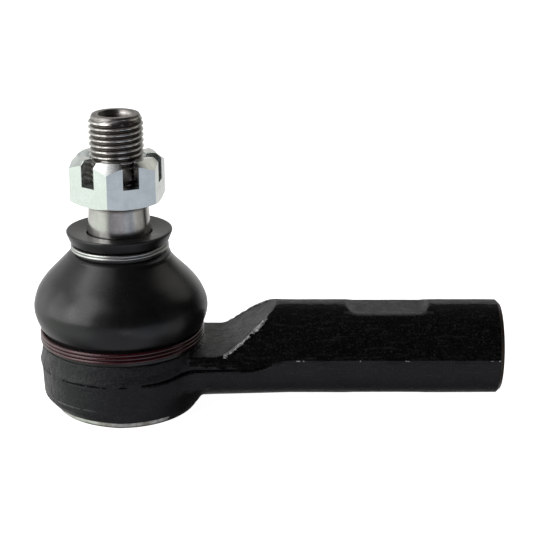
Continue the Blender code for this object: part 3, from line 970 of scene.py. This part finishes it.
# ---------------------------------------------------------------- boot and rings
def build_boot(mat):
    """Thin-walled boot: skirt under the lower ring, bulb, neck groove and flared lip."""
    bulb = [
        (17.85, 18.6),
        (18.65, 19.9),
        (19.35, 22.0),
        (19.55, 23.8),
        (19.3, 25.5),
        (18.45, 27.8),
        (16.85, 30.1),
        (14.9, 32.2),
        (12.95, 34.2),
        (11.6, 35.6),
    ]
    bulb = smooth_path(bulb, 7)
    inside = [
        (9.4, 35.6),
        (11.0, 34.4),
        (13.9, 31.5),
        (15.9, 29.4),
        (17.3, 27.2),
        (18.05, 25.2),
        (18.25, 23.8),
        (18.0, 22.2),
        (17.3, 20.4),
        (16.5, 19.3),
    ]
    inside = smooth_path(inside, 4)
    lip = [
        (10.2, 36.3),
        (10.15, 38.3),
        (11.0, 38.7),
        (11.95, 41.15),
        (9.4, 40.95),
        (7.55, 40.75),
        (7.2, 40.4),
        (7.2, 36.4),
    ]
    lip = rounded(lip, [0.4, 0.3, 0.6, 0.42, 1.5, 0.3, 0.3, 0.4], 6, False)
    skirt = [(17.75, 15.15), (17.75, 18.1)]
    hem = [(15.6, 18.8), (15.6, 15.15)]
    profile = densify(np.vstack([skirt, bulb, lip, inside, hem]), 0.6)

    def warp(turn, radius, height):
        """Slight waves, and a sag between neck and bulb on the shank's side."""
        wave = 0.05 * np.sin(turn * 2 + 0.6) + 0.03 * np.sin(turn * 5 + height * 0.4)
        free = np.clip((height - 19.5) / 4, 0, 1) * np.clip((35.0 - height) / 4, 0, 1)
        reach = np.where(height > 32.2, 4.2, 6.5)
        sag = 1.35 * np.exp(-(((height - 32.2) / reach) ** 2))
        sag *= np.clip((36.2 - height) / 1.2, 0, 1)
        return radius + wave * free - sag * np.clip(np.cos(turn), 0, 1) ** 1.2, height

    boot = lathe("boot_skin", profile, 160, warp=warp)
    smooth_shade(boot, 50)
    paint(boot, mat)
    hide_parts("boot")
    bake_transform(boot)


def build_rings(lacquer, plated):
    """Three turns of lacquered wire round the skirt, two of plated wire round the neck."""

    def wind(turns_done):
        return 15.82 + 0.825 * turns_done

    start = math.radians(84)
    lower = coil("lower_clamp_ring", 0.41, 18.12, wind, 3.0, start, steps=120)
    paint(lower, lacquer)
    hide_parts("boot_lower_ring")
    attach(lower, "housing")

    def climb(turns_done):
        """The free end lifts off the turn below it."""
        lift = max(0.0, (turns_done - 1.86) / 0.14)
        return 36.72 + 0.63 * turns_done + 0.7 * lift * lift

    start = math.radians(-8)
    upper = coil("upper_clamp_ring", 0.33, 10.62, climb, 2.0, start, steps=110)
    paint(upper, plated)
    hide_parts("boot_upper_ring")
    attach(upper, "boot_neck")


def build_cap(zinc):
    """Closing plate with a rim and a shallow ring groove underneath."""
    corners = [
        (0, 1.6),
        (12.7, 1.6),
        (12.9, 1.35),
        (16.9, 1.35),
        (16.9, 0.5),
        (16.5, 0),
        (13.2, 0),
        (12.8, 0.25),
        (10.8, 0.25),
        (10.4, 0),
        (0, 0),
    ]
    radii = [0, 0.1, 0.1, 0.15, 0.5, 0.3, 0.15, 0.15, 0.15, 0.15, 0]
    profile = rounded(corners, radii, 4, False)
    cap = lathe("end_plate", profile, 144, closed=False, warp=drawn_in)
    smooth_shade(cap, 45)
    paint(cap, zinc)
    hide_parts("end_cap")
    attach(cap, "housing")


# ---------------------------------------------------------------- stage
def area_light(name, at, to, size, power):
    """A soft box from one place towards another."""
    data = bpy.data.lights.new(name, "AREA")
    data.shape = "RECTANGLE"
    data.size, data.size_y = size
    data.energy = power
    lamp = bpy.data.objects.new(name, data)
    bpy.context.scene.collection.objects.link(lamp)
    lamp.location = at
    lamp.rotation_euler = (Vector(to) - Vector(at)).to_track_quat("-Z", "Y").to_euler()


def build_world():
    """A dim studio with soft bright areas, seen as plain white behind the object."""
    world = bpy.data.worlds.new("studio")
    bpy.context.scene.world = world
    world.use_nodes = True
    nodes, links = world.node_tree.nodes, world.node_tree.links
    nodes.clear()
    way = nodes.new("ShaderNodeTexCoord").outputs["Generated"]

    def vector(operation, first, second):
        made = nodes.new("ShaderNodeVectorMath")
        made.operation = operation
        links.new(first, made.inputs[0])
        if isinstance(second, tuple):
            made.inputs[1].default_value = second
        else:
            links.new(second, made.inputs[1])
        return made

    total = None
    for axis, inner, outer, colour in STUDIO:
        aim = vector("DOT_PRODUCT", way, tuple(Vector(axis).normalized()))
        fade = nodes.new("ShaderNodeMapRange")
        fade.interpolation_type = "SMOOTHSTEP"
        fade.inputs["From Min"].default_value = math.cos(math.radians(outer))
        fade.inputs["From Max"].default_value = math.cos(math.radians(inner))
        links.new(aim.outputs["Value"], fade.inputs["Value"])
        glow = vector("MULTIPLY", fade.outputs["Result"], colour).outputs["Vector"]
        total = vector("ADD", glow, total or STUDIO_BASE).outputs["Vector"]
    lit = nodes.new("ShaderNodeBackground")
    links.new(total, lit.inputs["Color"])
    plain = nodes.new("ShaderNodeBackground")
    plain.inputs["Color"].default_value = (1, 1, 1, 1)
    plain.inputs["Strength"].default_value = 1.0
    mix = nodes.new("ShaderNodeMixShader")
    links.new(nodes.new("ShaderNodeLightPath").outputs["Is Camera Ray"], mix.inputs[0])
    links.new(lit.outputs[0], mix.inputs[1])
    links.new(plain.outputs[0], mix.inputs[2])
    out = nodes.new("ShaderNodeOutputWorld")
    links.new(mix.outputs[0], out.inputs["Surface"])


def build_stage():
    """Pale floor, which only the camera sees, and three soft boxes."""
    mesh = bpy.data.meshes.new("floor")
    mesh.from_pydata([(-3, -3, 0), (3, -3, 0), (3, 3, 0), (-3, 3, 0)], [], [(0, 1, 2, 3)])
    floor = link("floor", mesh)
    floor.location.z = -0.0002
    floor.visible_glossy = False
    floor.visible_diffuse = False
    look = Look("floor_white", (0.8, 0.8, 0.8), 0.0, 0.9, Specular_IOR_Level=0.0)
    look.set("Emission Color", (1, 1, 1, 1))
    look.set("Emission Strength", 0.97)
    mesh.materials.append(look.mat)

    middle = (0.01, 0, 0.035)
    area_light("key_strip", (-0.42, -0.33, 0.31), middle, (0.38, 0.62), 2.05)
    area_light("left_fill", (-0.52, -0.06, 0.16), middle, (0.40, 0.36), 0.7)
    area_light("upper_left", (-0.22, 0.03, 0.42), middle, (0.22, 0.22), 0.38)


def build_camera():
    data = bpy.data.cameras.new("camera")
    data.sensor_width = 36.0
    data.lens = LENS
    data.clip_start = 0.02
    data.clip_end = 20
    camera = bpy.data.objects.new("camera", data)
    bpy.context.scene.collection.objects.link(camera)
    ahead = Vector((0, math.cos(CAMERA_ELEVATION), -math.sin(CAMERA_ELEVATION)))
    camera.location = Vector(CAMERA_TARGET) - CAMERA_DISTANCE * ahead
    camera.rotation_euler = (math.radians(90) - CAMERA_ELEVATION, 0, 0)
    bpy.context.scene.camera = camera
    bpy.context.scene.view_settings.view_transform = "Standard"


def main():
    zinc = zinc_plate()
    smooth = forged_black(
        "forged_black_smooth",
        dark=(0.004, 0.004, 0.0052),
        light=(0.0075, 0.0075, 0.0095),
        glint_tint=(0.026, 0.026, 0.028),
        specular=0.32,
        grain_depth=0.13,
        sheen_shade_and_scratch=0.8,
    )
    rough = forged_black(
        "forged_black_rough",
        dark=(0.0005, 0.0005, 0.0005),
        light=(0.0015, 0.0015, 0.0015),
        glint_tint=(0.024, 0.024, 0.0245),
        specular=0.05,
        grain_depth=0.22,
    )
    build_housing([smooth, rough, worn_black_and_highlights()])
    build_shank_thread(end_steel())
    build_stud(stud_steel())
    build_nut(zinc)
    build_boot(rubber())
    red, light_red = (0.038, 0.003, 0.006), (0.065, 0.005, 0.010)
    build_rings(
        wire_look("ring_lacquer", red, light_red, 0.2, 0.28, coat=0.55),
        wire_look("ring_plate", (0.48, 0.49, 0.48), (0.56, 0.56, 0.54), 1.0, 0.33),
    )
    build_cap(dull_zinc())
    for node in ("upper_seat", "lower_seat"):
        paint(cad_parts[node], plastic())
    paint(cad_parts["preload_spring"], dark_spring())
    build_world()
    build_stage()
    build_camera()


main()
